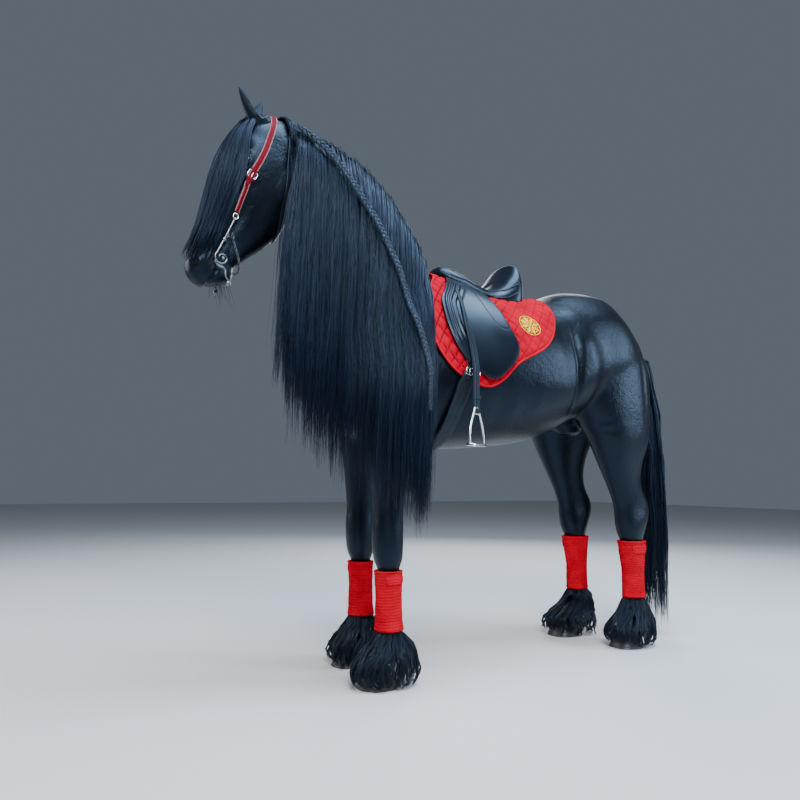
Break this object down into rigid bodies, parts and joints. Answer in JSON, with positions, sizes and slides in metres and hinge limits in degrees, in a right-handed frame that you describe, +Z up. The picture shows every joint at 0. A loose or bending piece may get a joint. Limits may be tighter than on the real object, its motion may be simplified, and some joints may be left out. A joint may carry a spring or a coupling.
{
  "type": "horse with saddle and bridle",
  "caption": "Standing black long-maned stallion at rest, with dressage saddle, quilted pad, girth, bridle headpiece, curb bit and leg wraps.",
  "frame": {"origin": "on the floor under the middle of the whole horse, in the plane of its spine", "axes": "+X towards the tail, +Y towards the horse's right side, +Z up; the head points along -X"},
  "size_m": [2.385, 0.696, 2.1808],
  "materials": {
    "coat": "short glossy black hair",
    "coat_and_hair": "glossy black coat with long silky black hair",
    "horn": "dark grey hoof horn",
    "eye": "wet dark brown",
    "red_fleece": "soft red fleece",
    "red_quilt": "quilted red cotton",
    "red_leather": "smooth red leather",
    "black_leather": "satin black leather",
    "silver_steel": "polished silver colour"
  },
  "bodies": {
    "root": {"torso": "coat", "leg_fore_left": "coat", "hoof_fore_left": "horn", "wrap_fore_left": "red_fleece", "leg_fore_right": "coat", "hoof_fore_right": "horn", "wrap_fore_right": "red_fleece", "leg_hind_left": "coat", "hoof_hind_left": "horn", "wrap_hind_left": "red_fleece", "leg_hind_right": "coat", "hoof_hind_right": "horn", "wrap_hind_right": "red_fleece", "head": "coat", "ear_left": "coat", "eye_left": "eye", "ear_right": "coat", "eye_right": "eye", "neck": "coat_and_hair", "tail": "coat_and_hair", "saddle_pad": "red_quilt", "girth": "black_leather", "saddle_seat": "black_leather", "saddle_flap_left": "black_leather", "stirrup_leather_left": "black_leather", "stirrup_iron_left": "silver_steel", "saddle_flap_right": "black_leather", "stirrup_leather_right": "black_leather", "stirrup_iron_right": "silver_steel", "headstall": "red_leather", "throat_latch": "black_leather", "curb_chain": "silver_steel", "bit_shank_left": "silver_steel", "bit_shank_right": "silver_steel"}
  },
  "joints": []
}
